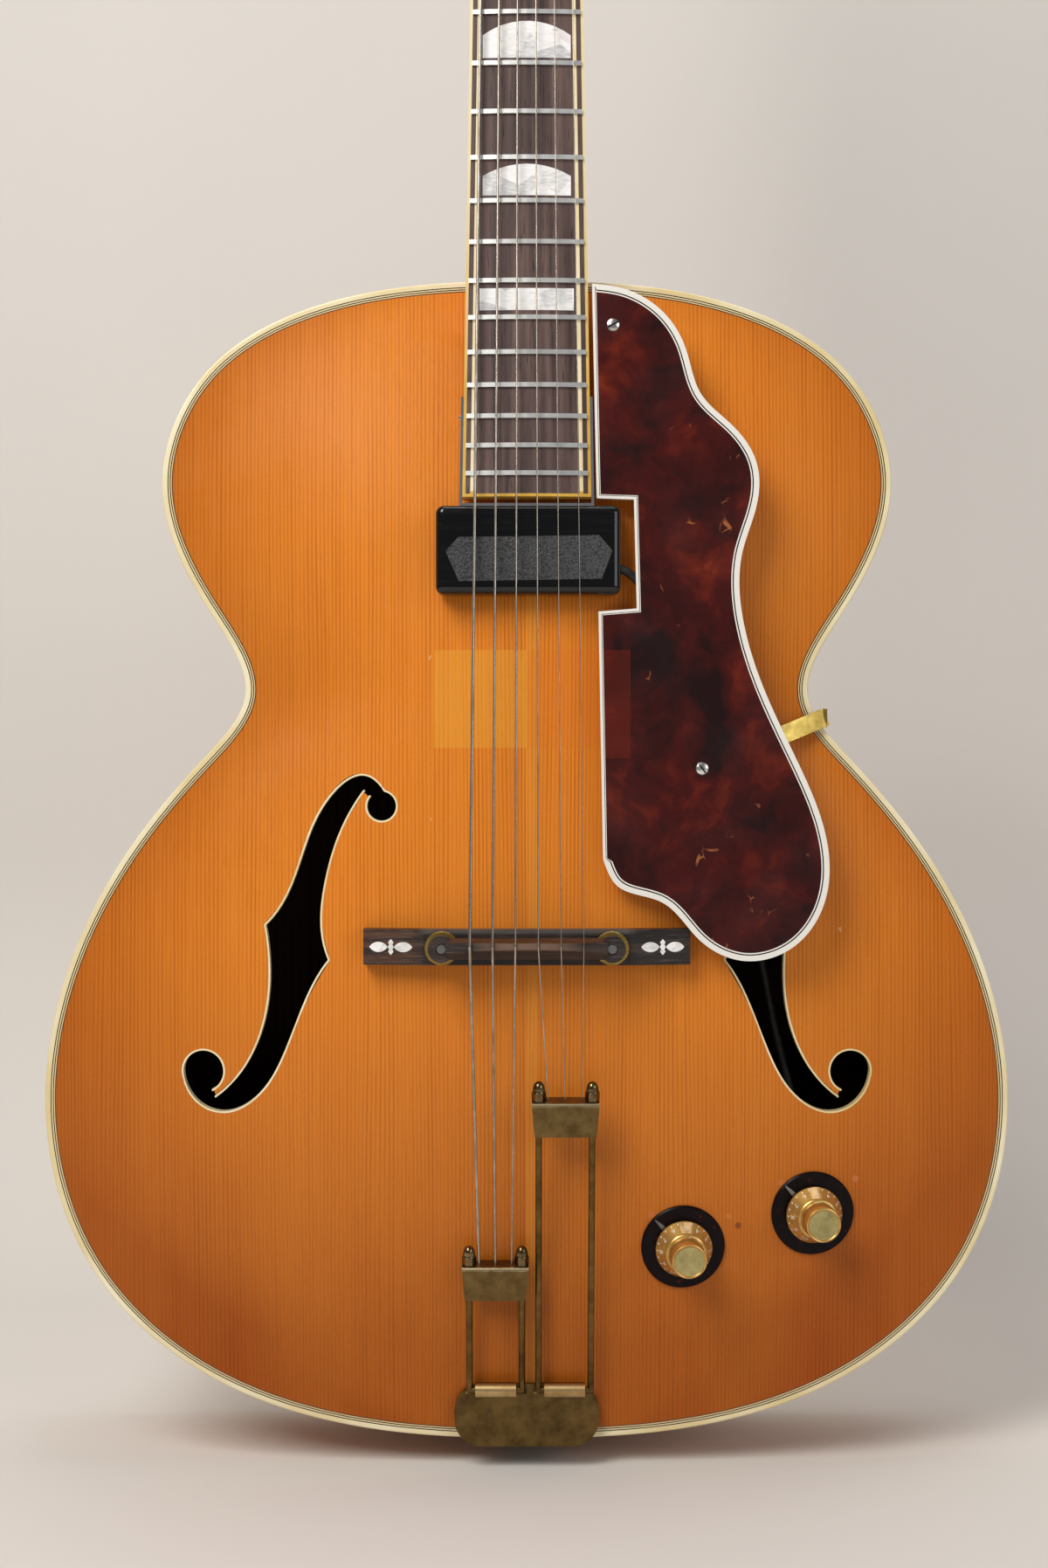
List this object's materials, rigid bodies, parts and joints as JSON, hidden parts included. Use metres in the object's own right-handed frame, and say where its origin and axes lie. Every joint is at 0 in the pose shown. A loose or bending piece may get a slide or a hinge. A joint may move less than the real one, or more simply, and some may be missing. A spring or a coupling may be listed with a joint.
{
  "type": "archtop guitar",
  "caption": "Hollow archtop guitar with bound f-holes, a height-set bridge, a split hinged tailpiece, a clamped pickup, raised guard and geared tuners.",
  "frame": {"origin": "seat of the end pin: on the centre line, at the tail's outer face, middle of the rim's depth", "axes": "+X to the treble side, +Y from the front to the back, +Z from the tail to the headstock"},
  "size_m": [0.4292, 0.1503, 1.0585],
  "materials": {
    "spruce": "glossy amber lacquer",
    "inner_wood": "bare wood",
    "maple": "glossy brown lacquer",
    "mahogany": "glossy brown lacquer",
    "ivory_plastic": "aged cream celluloid",
    "amber_plastic": "amber celluloid",
    "rosewood": "oiled, open pored",
    "ebony": "satin",
    "pearl": "mother-of-pearl sheen",
    "bone": "polished",
    "black_veneer": "glossy",
    "black_plastic": "glossy",
    "gold_plastic": "gold under clear plastic",
    "tortoise": "mottled red-brown celluloid",
    "pebbled_leather": "pebbled charcoal",
    "black_rubber": "matt",
    "aged_brass": "aged, worn plating",
    "brass_metal": "bright",
    "nickel": "slightly dulled nickel",
    "chrome_metal": "bright",
    "steel": "plain",
    "string_steel": "bright wound wire"
  },
  "bodies": {
    "guitar": {"back_binding": "ivory_plastic", "back_plate": "maple", "bridge_base": "ebony", "bridge_studs": "brass_metal", "end_blocks": "inner_wood", "end_pin": "nickel", "f_hole_bindings": "ivory_plastic", "fretboard": "rosewood", "fretboard_binding": "amber_plastic", "frets": "nickel", "headstock_veneer": "black_veneer", "heel_cap": "ivory_plastic", "knob_discs": "black_plastic", "linings": "inner_wood", "mounting_screws": "nickel", "neck": "mahogany", "nut": "bone", "pearl_inlays": "pearl", "pickguard": "tortoise", "pickguard_bracket": "aged_brass", "pickup_clamp": "chrome_metal", "pickup_coil": "steel", "pickup_cover": "black_plastic", "pickup_lead": "black_rubber", "pickup_panel": "pebbled_leather", "plain_strings": "string_steel", "potentiometers": "steel", "ribs": "maple", "tailpiece_plate": "aged_brass", "tone_bars": "inner_wood", "top_binding": "ivory_plastic", "top_plate": "spruce", "truss_rod": "steel", "truss_rod_cover": "black_plastic", "tuner_bushings": "nickel", "tuner_housings": "nickel", "wound_strings": "string_steel"},
    "tuner_key_1": {"tuner_key_1": "nickel"},
    "tuner_post_1": {"tuner_post_1": "nickel"},
    "tuner_key_2": {"tuner_key_2": "nickel"},
    "tuner_post_2": {"tuner_post_2": "nickel"},
    "tuner_key_3": {"tuner_key_3": "nickel"},
    "tuner_post_3": {"tuner_post_3": "nickel"},
    "tuner_key_4": {"tuner_key_4": "nickel"},
    "tuner_post_4": {"tuner_post_4": "nickel"},
    "tuner_key_5": {"tuner_key_5": "nickel"},
    "tuner_post_5": {"tuner_post_5": "nickel"},
    "tuner_key_6": {"tuner_key_6": "nickel"},
    "tuner_post_6": {"tuner_post_6": "nickel"},
    "knob_volume": {"knob_volume": "gold_plastic"},
    "knob_tone": {"knob_tone": "gold_plastic"},
    "saddle": {"bridge_saddle": "ebony"},
    "thumbwheel_bass": {"thumbwheel_bass": "brass_metal"},
    "thumbwheel_treble": {"thumbwheel_treble": "brass_metal"},
    "fork_bass": {"fork_bass": "aged_brass", "anchor_bass": "aged_brass", "anchor_nuts_bass": "aged_brass"},
    "fork_treble": {"fork_treble": "aged_brass", "anchor_treble": "aged_brass", "anchor_nuts_treble": "aged_brass"}
  },
  "joints": [
    {"name": "tuner_key_1_turn", "type": "hinge", "parent": "guitar", "child": "tuner_key_1", "pos_m": [-0.02463, -0.01419, 0.90178], "axis": [-1, 0, 0], "continuous": true},
    {"name": "tuner_post_1_turn", "type": "hinge", "parent": "guitar", "child": "tuner_post_1", "pos_m": [-0.02463, -0.01597, 0.90979], "axis": [0, -0.9537, 0.3007], "continuous": true},
    {"name": "tuner_key_2_turn", "type": "hinge", "parent": "guitar", "child": "tuner_key_2", "pos_m": [-0.02682, -0.00156, 0.94184], "axis": [-1, 0, 0], "continuous": true},
    {"name": "tuner_post_2_turn", "type": "hinge", "parent": "guitar", "child": "tuner_post_2", "pos_m": [-0.02682, -0.00334, 0.94985], "axis": [0, -0.9537, 0.3007], "continuous": true},
    {"name": "tuner_key_3_turn", "type": "hinge", "parent": "guitar", "child": "tuner_key_3", "pos_m": [-0.02901, 0.01107, 0.9819], "axis": [-1, 0, 0], "continuous": true},
    {"name": "tuner_post_3_turn", "type": "hinge", "parent": "guitar", "child": "tuner_post_3", "pos_m": [-0.02901, 0.00929, 0.9899], "axis": [0, -0.9537, 0.3007], "continuous": true},
    {"name": "tuner_key_4_turn", "type": "hinge", "parent": "guitar", "child": "tuner_key_4", "pos_m": [0.02463, -0.00992, 0.91533], "axis": [1, 0, 0], "continuous": true},
    {"name": "tuner_post_4_turn", "type": "hinge", "parent": "guitar", "child": "tuner_post_4", "pos_m": [0.02463, -0.01597, 0.90979], "axis": [0, -0.9537, 0.3007], "continuous": true},
    {"name": "tuner_key_5_turn", "type": "hinge", "parent": "guitar", "child": "tuner_key_5", "pos_m": [0.02682, 0.00271, 0.95538], "axis": [1, 0, 0], "continuous": true},
    {"name": "tuner_post_5_turn", "type": "hinge", "parent": "guitar", "child": "tuner_post_5", "pos_m": [0.02682, -0.00334, 0.94985], "axis": [0, -0.9537, 0.3007], "continuous": true},
    {"name": "tuner_key_6_turn", "type": "hinge", "parent": "guitar", "child": "tuner_key_6", "pos_m": [0.02901, 0.01534, 0.99544], "axis": [1, 0, 0], "continuous": true},
    {"name": "tuner_post_6_turn", "type": "hinge", "parent": "guitar", "child": "tuner_post_6", "pos_m": [0.02901, 0.00929, 0.9899], "axis": [0, -0.9537, 0.3007], "continuous": true},
    {"name": "volume_turn", "type": "hinge", "parent": "guitar", "child": "knob_volume", "pos_m": [0.1264, -0.04913, 0.1019], "axis": [0.1091, -0.9916, -0.07], "range_deg": [-150, 150]},
    {"name": "tone_turn", "type": "hinge", "parent": "guitar", "child": "knob_tone", "pos_m": [0.0688, -0.05321, 0.0879], "axis": [0.068, -0.9914, -0.1118], "range_deg": [-150, 150]},
    {"name": "saddle_lift", "type": "slide", "parent": "guitar", "child": "saddle", "axis": [0, -1, 0], "range_m": [-0.003, 0.003], "deforming": ["wound_strings", "plain_strings"]},
    {"name": "thumbwheel_bass_turn", "type": "hinge", "parent": "saddle", "child": "thumbwheel_bass", "pos_m": [-0.0366, -0.0754, 0.221], "axis": [0, -1, 0], "range_deg": [-1400, 1400]},
    {"name": "thumbwheel_treble_turn", "type": "hinge", "parent": "saddle", "child": "thumbwheel_treble", "pos_m": [0.0366, -0.0754, 0.221], "axis": [0, -1, 0], "range_deg": [-1400, 1400]},
    {"name": "fork_bass_swing", "type": "hinge", "parent": "guitar", "child": "fork_bass", "pos_m": [0, -0.0514, 0.024], "axis": [1, 0, 0], "range_deg": [0, 25], "stiffness_Nm_per_rad": 1, "deforming": ["wound_strings", "plain_strings"]},
    {"name": "fork_treble_swing", "type": "hinge", "parent": "guitar", "child": "fork_treble", "pos_m": [0, -0.0514, 0.024], "axis": [1, 0, 0], "range_deg": [0, 25], "stiffness_Nm_per_rad": 1, "deforming": ["wound_strings", "plain_strings"]}
  ],
  "couplings": [
    {"joint": "tuner_post_1_turn", "follows": "tuner_key_1_turn", "ratio": 0.071429},
    {"joint": "tuner_post_2_turn", "follows": "tuner_key_2_turn", "ratio": 0.071429},
    {"joint": "tuner_post_3_turn", "follows": "tuner_key_3_turn", "ratio": 0.071429},
    {"joint": "tuner_post_4_turn", "follows": "tuner_key_4_turn", "ratio": 0.071429},
    {"joint": "tuner_post_5_turn", "follows": "tuner_key_5_turn", "ratio": 0.071429},
    {"joint": "tuner_post_6_turn", "follows": "tuner_key_6_turn", "ratio": 0.071429},
    {"joint": "thumbwheel_bass_turn", "follows": "saddle_lift", "rad_per_m": 7854},
    {"joint": "thumbwheel_treble_turn", "follows": "saddle_lift", "rad_per_m": 7854}
  ]
}
